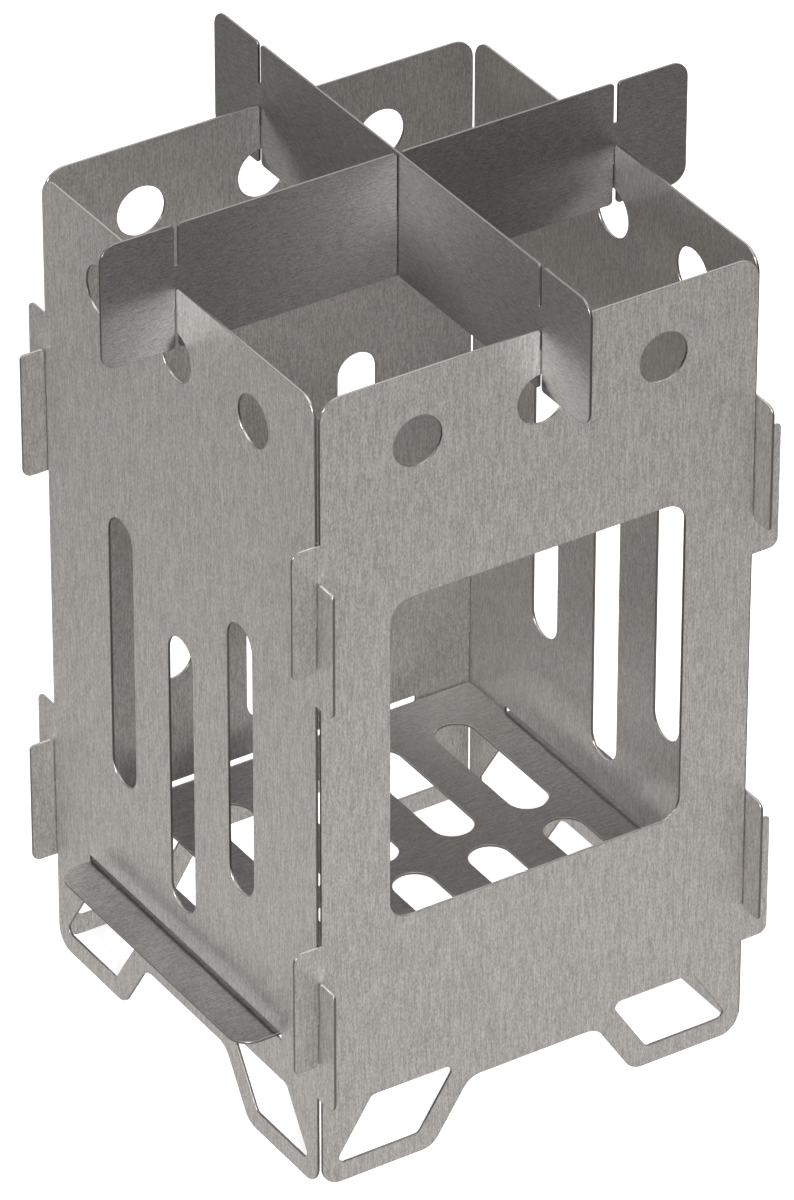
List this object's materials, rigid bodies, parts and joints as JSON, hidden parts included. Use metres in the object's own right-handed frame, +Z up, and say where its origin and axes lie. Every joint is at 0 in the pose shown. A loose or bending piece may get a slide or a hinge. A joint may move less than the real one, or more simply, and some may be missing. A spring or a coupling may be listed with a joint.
{
  "type": "hobo stove",
  "caption": "Flat-pack sheet-steel wood stove: hooked panels, slotted fire grate and crossed pot rails.",
  "frame": {"origin": "on the ground under the middle of the stove", "axes": "+Z up; the fire door faces -Y; +X to the right as seen from the door; cross_rail lies along X and depth_rail along Y"},
  "size_m": [0.147, 0.147, 0.215],
  "materials": {
    "panel_steel": "stainless sheet, brushed upright",
    "grate_steel": "stainless sheet, smoother and more mirror-like",
    "rail_steel": "stainless sheet, brushed lengthwise"
  },
  "bodies": {
    "stove_body": {"front_panel": "panel_steel", "left_panel": "panel_steel", "rear_panel": "panel_steel", "right_panel": "panel_steel", "fire_grate": "grate_steel"},
    "cross_rail_body": {"cross_rail": "rail_steel"},
    "depth_rail_body": {"depth_rail": "rail_steel"}
  },
  "joints": [
    {"name": "cross_rail_lift", "type": "slide", "parent": "stove_body", "child": "cross_rail_body", "axis": [0, 0, 1], "range_m": [0, 0.015]},
    {"name": "depth_rail_lift", "type": "slide", "parent": "cross_rail_body", "child": "depth_rail_body", "axis": [0, 0, 1], "range_m": [0, 0.03]}
  ]
}
